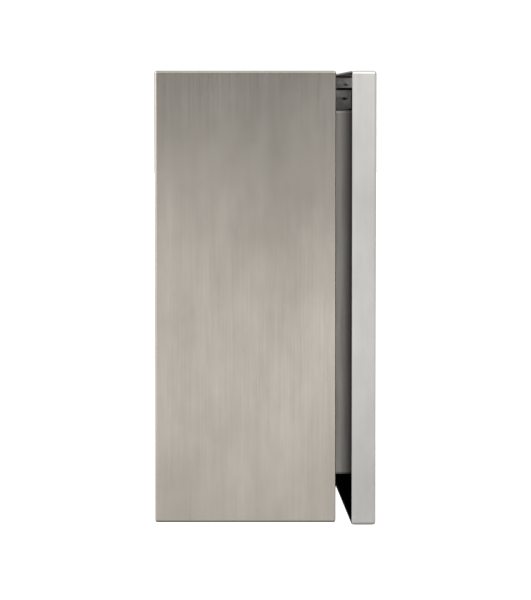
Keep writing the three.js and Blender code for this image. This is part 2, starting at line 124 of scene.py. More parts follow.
def addRod(name, radius, start, end, sides=32):
    # a straight rod between two points
    deselectAll()
    start, end = Vector(start), Vector(end)
    run = end - start
    bpy.ops.mesh.primitive_cylinder_add(vertices=sides, radius=radius, depth=run.length,
                                        location=(start + end) / 2,
                                        rotation=run.to_track_quat("Z", "Y").to_euler())
    piece = bpy.context.object
    piece.name = name
    applyPlace(piece)
    return piece


def turnPiece(name, profile, sides=48, closed=False):
    # extrudes and scales a ring up a profile of (radius, height), as on a lathe, about the z axis
    deselectAll()
    radius, height = profile[0]
    bpy.ops.mesh.primitive_circle_add(vertices=sides, radius=radius, location=(0, 0, height),
                                      fill_type="NOTHING" if closed else "NGON")
    piece = bpy.context.object
    piece.name = name
    applyPlace(piece)
    startEdit(piece)
    bpy.ops.mesh.select_mode(type="EDGE")
    bpy.ops.mesh.select_all(action="SELECT")
    for nextRadius, nextHeight in profile[1:]:
        bpy.ops.mesh.extrude_region_move(TRANSFORM_OT_translate={"value": (0, 0, nextHeight - height)})
        factor = nextRadius / radius
        bpy.ops.transform.resize(value=(factor, factor, 1), center_override=(0, 0, nextHeight))
        radius, height = nextRadius, nextHeight
    bpy.ops.mesh.select_all(action="SELECT")
    bpy.ops.mesh.remove_doubles(threshold=0.00001)
    bpy.ops.mesh.normals_make_consistent(inside=False)
    endEdit()
    return piece


def addFrame(name, low, high, width, outerCorner, innerCorner):
    # a flat ring like a picture frame, standing in the x-z plane
    ring = addBlock(name, low, high)
    startEdit(ring)
    pickFaces(ring, lambda centre, normal: abs(normal.y) > 0.9)
    bpy.ops.mesh.inset(thickness=width, use_even_offset=True)
    bpy.ops.mesh.bridge_edge_loops()
    edge = high[0] - width / 2
    pickEdges(ring, lambda mid, run: abs(run.y) > mm and abs(mid.x) > edge)
    bpy.ops.mesh.bevel(offset=outerCorner, segments=6)
    pickEdges(ring, lambda mid, run: abs(run.y) > mm and abs(mid.x) < edge)
    bpy.ops.mesh.bevel(offset=innerCorner, segments=5)
    endEdit()
    return ring


def cutAway(piece, *cutters):
    for cutter in cutters:
        applyModifier(piece, "BOOLEAN", operation="DIFFERENCE", solver="EXACT", object=cutter)
        bpy.data.objects.remove(cutter)


def weldOn(piece, *additions):
    for addition in additions:
        applyModifier(piece, "BOOLEAN", operation="UNION", solver="EXACT", object=addition)
        bpy.data.objects.remove(addition)


def placePiece(piece, location=(0, 0, 0), rotation=(0, 0, 0)):
    piece.location = location
    piece.rotation_euler = [math.radians(a) for a in rotation]
    applyPlace(piece)
    return piece


def smoothPiece(piece, angle=35):
    pickOnly(piece)
    bpy.ops.object.shade_smooth_by_angle(angle=math.radians(angle))


doorJoint = next(j for j in frame["joints"] if j["name"] == "door_hinge")
hingeAxis = Vector(doorJoint["pos_m"])
ajar = -doorJoint["range_deg"][0]     # how far the door stands open at rest, in degrees


def swingAjar(piece):
    # door pieces are modelled with the door shut, then turned about the hinge to where it stands
    place = Matrix.Translation(hingeAxis) @ Matrix.Rotation(math.radians(ajar), 4, "Z")
    piece.matrix_world = place @ Matrix.Translation(-hingeAxis)
    applyPlace(piece)


def finishPiece(piece, body, material, nodes, smooth=35):
    if smooth:
        smoothPiece(piece, smooth)
        # keeps the shading of broad flats flat beside their rounded edges
        applyModifier(piece, "WEIGHTED_NORMAL", keep_sharp=True)
    # a sheet piece may come with its outer and inner finishes already on it
    if not piece.data.materials:
        piece.data.materials.append(material)
    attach(piece, body)
    if nodes:
        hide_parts(*nodes)
    return piece


# ---- materials ----

def newGroup(name, inputs, outputs):
    group = bpy.data.node_groups.new(name, "ShaderNodeTree")
    for label, value in inputs.items():
        socket = group.interface.new_socket(label, in_out="INPUT", socket_type="NodeSocketFloat")
        socket.default_value = value
    for label in outputs:
        group.interface.new_socket(label, in_out="OUTPUT", socket_type="NodeSocketFloat")
    start = group.nodes.new("NodeGroupInput")
    end = group.nodes.new("NodeGroupOutput")
    return group, start, end


def addMath(tree, operation, first, second=None, clamp=False):
    node = tree.nodes.new("ShaderNodeMath")
    node.operation = operation
    node.use_clamp = clamp
    for slot, value in enumerate((first, second)):
        if value is None:
            continue
        if isinstance(value, (int, float)):
            node.inputs[slot].default_value = value
        else:
            tree.links.new(value, node.inputs[slot])
    return node.outputs[0]


def addNoise(tree, vector, scale, detail=3.0, rough=0.5):
    node = tree.nodes.new("ShaderNodeTexNoise")
    node.inputs["Scale"].default_value = scale
    node.inputs["Detail"].default_value = detail
    node.inputs["Roughness"].default_value = rough
    tree.links.new(vector, node.inputs["Vector"])
    return node.outputs[0]


def addStretch(tree, vector, scale):
    node = tree.nodes.new("ShaderNodeMapping")
    node.inputs["Scale"].default_value = scale
    tree.links.new(vector, node.inputs["Vector"])
    return node.outputs[0]


def makeBrushGrain():
    # fine lines up the uprights and along the level faces, and the slow tone that polishing leaves
    group, start, end = newGroup("brushGrain", {"Coarse": 1.0}, ["Lines", "Bands", "Tone"])
    place = group.nodes.new("ShaderNodeTexCoord")
    split = group.nodes.new("ShaderNodeSeparateXYZ")
    group.links.new(place.outputs["Normal"], split.inputs[0])
    level = addMath(group, "GREATER_THAN", addMath(group, "ABSOLUTE", split.outputs["Z"]), 0.7)
    upright = addMath(group, "SUBTRACT", 1.0, level)
    point = place.outputs["Object"]

    def both(scale, along, detail):
        up = addNoise(group, addStretch(group, point, (1, 1, along)), scale, detail)
        flat = addNoise(group, addStretch(group, point, (along, 1, 1)), scale, detail)
        return addMath(group, "ADD", addMath(group, "MULTIPLY", up, upright),
                       addMath(group, "MULTIPLY", flat, level))

    group.links.new(both(1100, 0.012, 3), end.inputs["Lines"])
    group.links.new(both(90, 0.03, 3), end.inputs["Bands"])
    cloud = addNoise(group, addStretch(group, point, (1, 1, 0.5)), 13, 4, 0.6)
    group.links.new(cloud, end.inputs["Tone"])
    return group


def makeSpeckle():
    # pits and lumps of a cast or foamed surface
    group, start, end = newGroup("speckle", {"Scale": 400.0}, ["Fine", "Cloud"])
    place = group.nodes.new("ShaderNodeTexCoord")
    for label, factor, detail in (("Fine", 1.0, 4.0), ("Cloud", 0.08, 3.0)):
        node = group.nodes.new("ShaderNodeTexNoise")
        node.inputs["Detail"].default_value = detail
        group.links.new(place.outputs["Object"], node.inputs["Vector"])
        group.links.new(addMath(group, "MULTIPLY", start.outputs["Scale"], factor), node.inputs["Scale"])
        group.links.new(node.outputs[0], end.inputs[label])
    return group


def makeEdgeWear():
    # 1 on outward edges, 0 on flats
    group, start, end = newGroup("edgeWear", {"Sharpness": 8.0}, ["Edge"])
    shape = group.nodes.new("ShaderNodeNewGeometry")
    lifted = addMath(group, "SUBTRACT", shape.outputs["Pointiness"], 0.5)
    group.links.new(addMath(group, "MULTIPLY", lifted, start.outputs["Sharpness"], clamp=True),
                    end.inputs["Edge"])
    return group


brushGrain = makeBrushGrain()
speckle = makeSpeckle()
edgeWear = makeEdgeWear()


class Recipe:
    # a material with its Principled shader and the few links that every finish here makes
    def __init__(self, name, roughness, metallic):
        self.material = bpy.data.materials.new(name)
        self.material.use_nodes = True
        self.tree = self.material.node_tree
        self.shader = self.tree.nodes["Principled BSDF"]
        self.shader.inputs["Roughness"].default_value = roughness
        self.shader.inputs["Metallic"].default_value = metallic

    def group(self, tree, **values):
        node = self.tree.nodes.new("ShaderNodeGroup")
        node.node_tree = tree
        for label, value in values.items():
            node.inputs[label].default_value = value
        return node

    def blend(self, amount, low, high):
        # colour between low and high by a value
        ramp = self.tree.nodes.new("ShaderNodeMix")
        ramp.data_type = "RGBA"
        ramp.inputs["A"].default_value = (*low, 1) if isinstance(low, tuple) else (0, 0, 0, 1)
        ramp.inputs["B"].default_value = (*high, 1)
        if not isinstance(low, tuple):
            self.tree.links.new(low, ramp.inputs["A"])
        self.tree.links.new(amount, ramp.inputs["Factor"])
        return ramp.outputs["Result"]

    def spread(self, value, low, high, fromLow=0.3, fromHigh=0.7):
        node = self.tree.nodes.new("ShaderNodeMapRange")
        labels = ("From Min", "From Max", "To Min", "To Max")
        for label, number in zip(labels, (fromLow, fromHigh, low, high)):
            node.inputs[label].default_value = number
        self.tree.links.new(value, node.inputs["Value"])
        return node.outputs[0]

    def link(self, output, label):
        self.tree.links.new(output, self.shader.inputs[label])

    def bump(self, height, distance, strength=1.0):
        node = self.tree.nodes.new("ShaderNodeBump")
        node.inputs["Distance"].default_value = distance
        node.inputs["Strength"].default_value = strength
        self.tree.links.new(height, node.inputs["Height"])
        self.tree.links.new(node.outputs[0], self.shader.inputs["Normal"])


# copies of one stainless steel: the first keeps the steel's own colour; the door, hinge and inside copies have
# their colour painted brighter, painted light, and the collar copy painted darker, painted shade
steelLook = {"dark": (0.495, 0.457, 0.402), "light": (0.655, 0.608, 0.54), "roughness": (0.15, 0.20),
             "bands": 0.16, "bump": 0.3}
doorLook = {"dark": (0.74, 0.72, 0.685), "light": (0.99, 0.97, 0.93), "roughness": (0.36, 0.44),
            "bands": 0.2, "bump": 0.4}
hingeLitLook = {"dark": (0.86, 0.85, 0.83), "light": (0.97, 0.96, 0.94), "roughness": (0.10, 0.17),
            "bands": 0.3, "bump": 0.2}
insideLook = {"dark": (0.82, 0.81, 0.79), "light": (0.96, 0.95, 0.93), "roughness": (0.15, 0.22),
              "bands": 0.35, "bump": 0.3}
# the collar's last entry darkens its colour towards the front edge: painted shade
collarLook = {"dark": (0.40, 0.385, 0.36), "light": (0.54, 0.52, 0.49), "roughness": (0.30, 0.42),
              "bands": 0.4, "bump": 0.5, "paintedShade": (-188 * mm, -199 * mm, 0.26)}


def makeBrushedSteel(name, look):
    recipe = Recipe(name, 0.35, 1.0)
    grain = recipe.group(brushGrain)
    tone = recipe.spread(grain.outputs["Tone"], 0, 1)
    bands = recipe.spread(grain.outputs["Bands"], 0, 1)
    mixed = addMath(recipe.tree, "ADD", addMath(recipe.tree, "MULTIPLY", tone, 1 - look["bands"]),
                    addMath(recipe.tree, "MULTIPLY", bands, look["bands"]))
    colour = recipe.blend(mixed, look["dark"], look["light"])
    if "paintedShade" in look:
        # painted shade: the collar's colour darkened towards its front edge, where the door flange shades it
        start, end, least = look["paintedShade"]
        place = recipe.tree.nodes.new("ShaderNodeTexCoord")
        split = recipe.tree.nodes.new("ShaderNodeSeparateXYZ")
        recipe.tree.links.new(place.outputs["Object"], split.inputs[0])
        shadeAmount = recipe.spread(split.outputs["Y"], 1, 0, end, start)
        colour = recipe.blend(shadeAmount, colour, tuple(least * value for value in look["dark"]))
    recipe.link(colour, "Base Color")
    low, high = look["roughness"]
    recipe.link(recipe.spread(grain.outputs["Lines"], low, high), "Roughness")
    recipe.bump(grain.outputs["Lines"], 0.00003, look["bump"])
    return recipe.material


def makeZincSteel():
    recipe = Recipe("zincSteel", 0.4, 1.0)
    grit = recipe.group(speckle, Scale=900.0)
    cloud = recipe.spread(grit.outputs["Cloud"], 0, 1)
    recipe.link(recipe.blend(cloud, (0.42, 0.43, 0.43), (0.62, 0.62, 0.60)), "Base Color")
    recipe.link(recipe.spread(grit.outputs["Fine"], 0.3, 0.5), "Roughness")
    recipe.bump(grit.outputs["Fine"], 0.00004, 0.4)
    return recipe.material


def makeFoam():
    recipe = Recipe("blackFoam", 0.95, 0.0)
    grit = recipe.group(speckle, Scale=1600.0)
    shade = recipe.blend(grit.outputs["Fine"], (0.004, 0.004, 0.004), (0.014, 0.014, 0.014))
    recipe.link(shade, "Base Color")
    recipe.shader.inputs["Specular IOR Level"].default_value = 0.1
    recipe.bump(grit.outputs["Fine"], 0.0002, 0.8)
    return recipe.material


def makeRubber():
    recipe = Recipe("blackRubber", 0.7, 0.0)
    grit = recipe.group(speckle, Scale=700.0)
    edge = recipe.group(edgeWear, Sharpness=6.0)
    plain = recipe.blend(grit.outputs["Cloud"], (0.010, 0.010, 0.010), (0.024, 0.023, 0.022))
    recipe.link(recipe.blend(edge.outputs["Edge"], plain, (0.05, 0.05, 0.05)), "Base Color")
    recipe.link(recipe.spread(grit.outputs["Fine"], 0.55, 0.8), "Roughness")
    recipe.bump(grit.outputs["Fine"], 0.00005, 0.5)
    return recipe.material


def makeCastBrass():
    recipe = Recipe("castBrass", 0.4, 1.0)
    grit = recipe.group(speckle, Scale=650.0)
    edge = recipe.group(edgeWear, Sharpness=10.0)
    tarnish = recipe.spread(grit.outputs["Cloud"], 0, 1)
    plain = recipe.blend(tarnish, (0.44, 0.27, 0.10), (0.68, 0.46, 0.20))
    recipe.link(recipe.blend(edge.outputs["Edge"], plain, (0.85, 0.62, 0.32)), "Base Color")
    recipe.link(recipe.spread(grit.outputs["Fine"], 0.34, 0.52), "Roughness")
    recipe.bump(grit.outputs["Fine"], 0.0001, 0.6)
    return recipe.material


def makeRedEnamel():
    recipe = Recipe("redEnamel", 0.32, 0.0)
    grit = recipe.group(speckle, Scale=500.0)
    edge = recipe.group(edgeWear, Sharpness=9.0)
    depth = recipe.spread(grit.outputs["Cloud"], 0, 1)
    plain = recipe.blend(depth, (0.33, 0.012, 0.010), (0.48, 0.024, 0.018))
    recipe.link(recipe.blend(edge.outputs["Edge"], plain, (0.60, 0.05, 0.035)), "Base Color")
    recipe.link(recipe.spread(grit.outputs["Fine"], 0.25, 0.4), "Roughness")
    recipe.shader.inputs["Coat Weight"].default_value = 0.4
    recipe.bump(grit.outputs["Fine"], 0.00015, 0.5)
    return recipe.material


def makeChrome():
    recipe = Recipe("lockChrome", 0.15, 1.0)
    grit = recipe.group(speckle, Scale=1200.0)
    recipe.link(recipe.blend(grit.outputs["Cloud"], (0.66, 0.67, 0.68), (0.80, 0.81, 0.82)), "Base Color")
    recipe.link(recipe.spread(grit.outputs["Fine"], 0.10, 0.2), "Roughness")
    return recipe.material


def makeFibre():
    recipe = Recipe("packingFibre", 0.9, 0.0)
    grit = recipe.group(speckle, Scale=1500.0)
    recipe.link(recipe.blend(grit.outputs["Fine"], (0.16, 0.14, 0.11), (0.34, 0.31, 0.26)), "Base Color")
    recipe.bump(grit.outputs["Fine"], 0.0002, 0.8)
    return recipe.material


steel = makeBrushedSteel("brushedSteel", steelLook)
# all but the first are lit and shaded copies of the same steel: painted light and painted shade in their colour
doorSteel = makeBrushedSteel("doorSteel", doorLook)
collarSteel = makeBrushedSteel("collarSteel", collarLook)
hingeLitSteel = makeBrushedSteel("hingeLitSteel", hingeLitLook)
insideSteel = makeBrushedSteel("insideSteel", insideLook)
zincSteel = makeZincSteel()
foam = makeFoam()
rubber = makeRubber()
castBrass = makeCastBrass()
redEnamel = makeRedEnamel()
chrome = makeChrome()
fibre = makeFibre()
finishes = {"stainless": steel, "zinc_steel": zincSteel, "foam": foam, "rubber": rubber,
            "cast_brass": castBrass, "red_enamel": redEnamel, "chrome": chrome, "packing_fibre": fibre}

# every CAD node starts with its slot's finish; the ones shown keep it
for entry in frame["record"]["subparts"]:
    mesh = frame["nodes"][entry["node"]].data
    mesh.materials.clear()
    mesh.materials.append(finishes[entry["material_slot"]])
print("materials made:", len(finishes))


# ---- cabinet shell ----

cabinetLow, cabinetHigh = (Vector(corner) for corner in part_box("cabinet_body"))
riserLow, riserHigh = (Vector(corner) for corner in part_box("riser_nipple"))
riserX = (riserLow.x + riserHigh.x) / 2
riserY = (riserLow.y + riserHigh.y) / 2

shellSettings = {"band": 40 * mm, "extraBottom": 5 * mm, "collarCorner": 2.2 * mm, "bend": 2.4 * mm,
                 "sheet": 1.2 * mm, "collarSheet": 1.5 * mm, "knockOut": 41 * mm,
                 "wallHole": 4.5 * mm, "wallHoleAt": 170 * mm}


def makeCabinetShell():
    s = shellSettings
    shell = addBlock("cabinetShell", cabinetLow, cabinetHigh)
    front, bandEdge = cabinetLow.y, cabinetLow.z + s["band"]
    startEdit(shell)
    pickFaces(shell, lambda centre, normal: normal.y < -0.9)
    bpy.ops.mesh.inset(thickness=s["band"], use_even_offset=True)
    pickEdges(shell, lambda mid, run: abs(mid.z - bandEdge) < mm and abs(mid.y - front) < mm)
    bpy.ops.transform.translate(value=(0, 0, s["extraBottom"]))
    pickFaces(shell, lambda centre, normal: (normal.y < -0.9 and abs(centre.z) < 10 * mm
                                             and abs(centre.x) < mm))
    bpy.ops.mesh.delete(type="FACE")
    endEdit()
    bevelPiece(shell, s["bend"], segments=4, angle=50)
    # the inner faces take the inside copy, its colour painted brighter: painted light
    shell.data.materials.append(steel)
    shell.data.materials.append(insideSteel)
    applyModifier(shell, "SOLIDIFY", thickness=s["sheet"], offset=-1, use_even_offset=True,
                  material_offset=1)
    cutters = [addRod("cutter", s["knockOut"], (riserX, riserY, cabinetLow.z - 5 * mm),
                      (riserX, riserY, cabinetLow.z + 5 * mm), 64)]
    for x in (-s["wallHoleAt"], s["wallHoleAt"]):
        for z in (-s["wallHoleAt"], s["wallHoleAt"]):
            cutters.append(addRod("cutter", s["wallHole"], (x, -5 * mm, z), (x, 5 * mm, z), 24))
    cutAway(shell, *cutters)
    finishPiece(shell, "root", steel, ["cabinet_body"], smooth=40)


def makeCollar():
    # a rolled lip, its front edge rounded over
    s = shellSettings
    low, high = (Vector(corner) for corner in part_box("door_collar"))
    collar = addFrame("doorCollar", low, high, s["collarSheet"], s["collarCorner"],
                      s["collarCorner"] - s["collarSheet"])
    bevelPiece(collar, 0.5 * mm, segments=3, angle=60)
    finishPiece(collar, "root", collarSteel, ["door_collar"], smooth=40)


makeCabinetShell()
makeCollar()
print("cabinet shell and collar made")


# ---- door ----

doorSettings = {"gap": 4.5 * mm, "thick": 24.5 * mm, "sheet": 1.5 * mm, "bend": 3.2 * mm,
                "rearCorner": 3.6 * mm, "lockHole": 9.5 * mm}
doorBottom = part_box("door_pan")[0][2]
doorBack = cabinetLow.y - doorSettings["gap"]
doorFront = doorBack - doorSettings["thick"]
skinInside = doorFront + doorSettings["sheet"]
lockJoint = next(j for j in frame["joints"] if j["name"] == "lock_turn")
# the lock's place with the door shut
swingBack = Matrix.Rotation(-math.radians(ajar), 3, "Z")
lockX = (hingeAxis + swingBack @ (Vector(lockJoint["pos_m"]) - hingeAxis)).x


def makeDoorPan():
    s = doorSettings
    low = (cabinetLow.x, doorFront, doorBottom)
    high = (cabinetHigh.x, doorBack, cabinetHigh.z)
    pan = addBlock("doorShell", low, high)
    startEdit(pan)
    pickFaces(pan, lambda centre, normal: normal.y > 0.9)
    bpy.ops.mesh.delete(type="FACE")
    endEdit()
    bevelPiece(pan, s["bend"], segments=5, angle=50)
    # brushed outside; inside a copy of the same steel with its colour painted brighter, painted light in the
    # shaded pan
    pan.data.materials.append(doorSteel)
    pan.data.materials.append(insideSteel)
    applyModifier(pan, "SOLIDIFY", thickness=s["sheet"], offset=-1, use_even_offset=True,
                  material_offset=1)
    cutters = [addRod("cutter", s["lockHole"], (lockX, doorFront - 5 * mm, 0),
                      (lockX, doorFront + 5 * mm, 0), 48)]
    for x in (cabinetLow.x, cabinetHigh.x):
        for z in (doorBottom, cabinetHigh.z):
            cutters.append(makeCornerCutter(x, z, s["rearCorner"]))
    cutAway(pan, *cutters)
    swingAjar(pan)
    finishPiece(pan, "door", doorSteel, ["door_pan"], smooth=40)


def makeCornerCutter(x, z, radius):
    # what lies outside the flange's rounded rear corner: a small block with a rod taken out of it
    side = 1 if z > 0 else -1
    cornerY, cornerZ = doorBack - radius, z - side * radius
    span = sorted((cornerZ, z + side * mm))
    cutter = addBlock("cutter", (x - 5 * mm, cornerY, span[0]), (x + 5 * mm, doorBack + mm, span[1]))
    cutAway(cutter, addRod("cutter", radius, (x - 9 * mm, cornerY, cornerZ),
                           (x + 9 * mm, cornerY, cornerZ), 48))
    return cutter


makeDoorPan()
print("door pan made")


# ---- seals ----

collarLow, collarHigh = (Vector(corner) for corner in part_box("door_collar"))
sealSettings = {"outside": 2 * mm, "width": 12 * mm, "thick": 4.7 * mm, "outerCorner": 8 * mm,
                "innerCorner": 3 * mm, "softEdge": 1.4 * mm, "stripEnd": 6 * mm, "stripThick": 2.4 * mm,
                "clear": 0.3 * mm}


def makeSeals():
    s = sealSettings
    front = skinInside + s["clear"]
    low = (collarLow.x - s["outside"], front, collarLow.z - s["outside"])
    high = (collarHigh.x + s["outside"], front + s["thick"], collarHigh.z + s["outside"])
    gasket = addFrame("doorGasket", low, high, s["width"], s["outerCorner"], s["innerCorner"])
    bevelPiece(gasket, s["softEdge"], angle=60)
    swingAjar(gasket)
    finishPiece(gasket, "door", foam, ["door_gasket"])

    floor = doorBottom + doorSettings["sheet"] + s["clear"]
    strip = addBlock("bottomSealStrip", (cabinetLow.x + s["stripEnd"], front, floor),
                     (cabinetHigh.x - s["stripEnd"], doorBack - s["clear"], floor + s["stripThick"]))
    bevelPiece(strip, 0.8 * mm)
    swingAjar(strip)
    finishPiece(strip, "door", foam, ["door_bottom_seal"])


makeSeals()


# ---- keeper plate and riser grommet ----

def makeKeeper():
    low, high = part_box("lock_keeper")
    plate = addBlock("keeperPlate", low, high)
    startEdit(plate)
    pickEdges(plate, lambda mid, run: abs(run.y) > mm)
    bpy.ops.mesh.bevel(offset=3 * mm, segments=5)
    endEdit()
    bevelPiece(plate, 0.5 * mm, angle=60)
    # spot-weld dimples
    x = (low[0] + high[0]) / 2
    dimples = [addRod("cutter", 2.5 * mm, (x, high[1] - 0.4 * mm, z), (x, high[1] + 5 * mm, z), 24)
               for z in (-15 * mm, 15 * mm)]
    cutAway(plate, *dimples)
    finishPiece(plate, "root", steel, ["lock_keeper"])


makeKeeper()


def inMetres(points):
    return [(radius * mm, height * mm) for radius, height in points]


def makeGrommet():
    low, high = (Vector(corner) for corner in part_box("riser_grommet"))
    bore = (riserHigh.x - riserLow.x) / 2 + 0.3 * mm
    outer = (high.x - low.x) / 2
    neck, lip = outer - 5.3 * mm, low.z + 1.5 * mm
    profile = [(bore, low.z), (neck, low.z), (neck, lip), (outer, lip), (outer, lip + 2.2 * mm),
               (outer - 1.5 * mm, high.z - 0.6 * mm), (bore + 1 * mm, high.z), (bore, high.z - 0.6 * mm),
               (bore, low.z)]
    ring = turnPiece("riserGrommet", profile, 96, closed=True)
    bevelPiece(ring, 0.4 * mm, segments=2)
    placePiece(ring, (riserX, riserY, 0))
    finishPiece(ring, "root", rubber, ["riser_grommet"])


makeGrommet()
print("seals, keeper and grommet made")


# ---- hinges ----

hingeSettings = {"eye": 5 * mm, "pin": 2 * mm, "clear": 0.3 * mm, "arm": 2 * mm, "armBack": 1.5 * mm,
                 "web": 18 * mm, "footFrom": 31 * mm, "pad": 2.2 * mm, "plate": 2.4 * mm, "side": 9 * mm,
                 "back": 12 * mm, "bracket": 11.5 * mm}


def makeHingeArm(name, node):
    s = hingeSettings
    low, high = (Vector(corner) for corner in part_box(node))
    middle = (low.z + high.z) / 2
    tall = frame["nodes"][node].dimensions.z / 3
    bottom, top = middle - tall / 2, middle + tall / 2
    armBack = hingeAxis.y - s["armBack"]
    webX = hingeAxis.x - s["web"]
    bandFront = high.y
    arm = addRod(name, s["eye"], (hingeAxis.x, hingeAxis.y, bottom), (hingeAxis.x, hingeAxis.y, top), 48)
    cross = addBlock("adder", (webX - s["arm"], armBack - s["arm"], bottom), (hingeAxis.x, armBack, top))
    web = addBlock("adder", (webX - s["arm"], armBack - s["arm"] / 2, bottom + 0.01 * mm),
                   (webX - 0.01 * mm, bandFront - 0.01 * mm, top - 0.01 * mm))
    foot = addBlock("adder", (hingeAxis.x - s["footFrom"], bandFront - s["arm"], low.z),
                    (webX, bandFront, high.z))
    startEdit(foot)
    pickEdges(foot, lambda mid, run: abs(run.y) > mm / 2 and mid.x < webX - 5 * mm)
    bpy.ops.mesh.bevel(offset=4 * mm, segments=5)
    endEdit()
    weldOn(arm, cross, web, foot)
    cutAway(arm, addRod("cutter", s["pin"] + s["clear"], (hingeAxis.x, hingeAxis.y, bottom - mm),
                        (hingeAxis.x, hingeAxis.y, top + mm), 32))
    bevelPiece(arm, 0.35 * mm, segments=2, angle=50)
    finishPiece(arm, "root", hingeLitSteel, [node], smooth=30)
    return bottom, top


def makeHingeSide(place):
    s = hingeSettings
    bottom, top = makeHingeArm(f"hingeArm.{place}", f"hinge_arm_{place}")
    x, y = hingeAxis.x, hingeAxis.y
    left, right = x - s["side"], cabinetHigh.x - doorSettings["sheet"] - s["clear"]
    front, back = skinInside + s["clear"], y + s["back"]

    pad = addBlock(f"hingePad.{place}", (left, front, top + s["clear"]),
                   (right, back, top + s["clear"] + s["pad"]))
    cutAway(pad, addRod("cutter", s["pin"] + s["clear"], (x, y, top - mm), (x, y, top + 9 * mm), 32))
    bevelPiece(pad, 0.4 * mm, segments=2, angle=50)
    swingAjar(pad)
    finishPiece(pad, "door", rubber, [f"hinge_pad_{place}"])

    seat = top + s["pad"] + 2 * s["clear"]
    bracket = addBlock(f"hingeBracket.{place}", (left, front, seat), (right, back, seat + s["bracket"]))
    hollow = addBlock("cutter", (left - 5 * mm, front + s["plate"], seat + s["plate"]),
                      (right - s["plate"], back + 5 * mm, seat + s["bracket"] + 5 * mm))
    hole = addRod("cutter", s["pin"] + s["clear"], (x, y, seat - mm), (x, y, seat + 9 * mm), 32)
    cutAway(bracket, hollow, hole)
    bevelPiece(bracket, 0.4 * mm, segments=2, angle=50)
    swingAjar(bracket)
    finishPiece(bracket, "door", hingeLitSteel, [f"hinge_bracket_{place}"])

    pinLow, pinHigh = (Vector(corner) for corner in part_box(f"hinge_pin_{place}"))
    head = pinHigh.z - 2 * mm
    pin = turnPiece(f"hingePin.{place}", [
        (s["pin"] - 0.6 * mm, pinLow.z), (s["pin"], pinLow.z + 0.6 * mm), (s["pin"], head),
        (3.6 * mm, head), (3.6 * mm, head + 1.0 * mm), (3.2 * mm, head + 1.6 * mm),
        (2.2 * mm, pinHigh.z)], 32)
    placePiece(pin, (x, y, 0))
    finishPiece(pin, "root", zincSteel, [f"hinge_pin_{place}"])

    clipLow, clipHigh = (Vector(corner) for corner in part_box(f"hinge_clip_{place}"))
    inner, outer = s["pin"] + s["clear"], (clipHigh.x - clipLow.x) / 2
    clip = turnPiece(f"hingeClip.{place}", [(inner, clipLow.z), (outer, clipLow.z), (outer, clipHigh.z),
                                            (inner, clipHigh.z), (inner, clipLow.z)], 40, closed=True)
    bevelPiece(clip, 0.15 * mm, segments=2)
    placePiece(clip, (x, y, 0))
    finishPiece(clip, "root", zincSteel, [f"hinge_clip_{place}"])

    for mark in ("a", "b"):
        makePanScrew(f"hingeScrew.{place}.{mark}", f"hinge_screw_{place}_{mark}")


def makePanScrew(name, node):
    # a pan head with a cross recess, lying along -y
    low, high = (Vector(corner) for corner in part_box(node))
    radius, tall = (high.x - low.x) / 2, high.y - low.y
    head = turnPiece(name, [(radius, 0), (radius, tall * 0.45), (radius * 0.9, tall * 0.8),
                            (radius * 0.55, tall)], 32)
    bevelPiece(head, 0.15 * mm, segments=2, angle=30)
    slots = [addBlock("cutter", (-a, -b, tall * 0.55), (a, b, tall * 2))
             for a, b in ((radius * 0.14, radius * 0.55), (radius * 0.55, radius * 0.14))]
    cutAway(head, *slots)
    placePiece(head, ((low.x + high.x) / 2, high.y, (low.z + high.z) / 2), (90, 0, 0))
    finishPiece(head, "root", zincSteel, [node])


makeHingeSide("upper")
makeHingeSide("lower")
print("hinges made")


# ---- cam lock ----

lockSettings = {"barrel": 9.2 * mm, "bezel": 14 * mm, "bezelTall": 1.8 * mm, "core": 5.7 * mm,
                "housing": 26 * mm, "clear": 0.3 * mm, "nut": 12.5 * mm, "nutTall": 6 * mm, "hub": 7 * mm,
                "reach": 19 * mm, "tongue": 2.5 * mm, "square": 3.5 * mm}


def addNut(name, corner, low, high, bore):
    # a hexagon with its corners chamfered off, bored through, standing on the z axis
    nut = turnPiece(name, [(corner, low), (corner, high)], 6)
    edge = corner * 0.1
    blank = turnPiece("cutter", [(corner - edge, low), (corner + 0.1 * edge, low + edge * 0.62),
                                 (corner + 0.1 * edge, high - edge * 0.62), (corner - edge, high)], 64)
    applyModifier(nut, "BOOLEAN", operation="INTERSECT", solver="EXACT", object=blank)
    bpy.data.objects.remove(blank)
    if bore:
        cutAway(nut, addRod("cutter", bore, (0, 0, low - mm), (0, 0, high + mm), 48))
    return nut


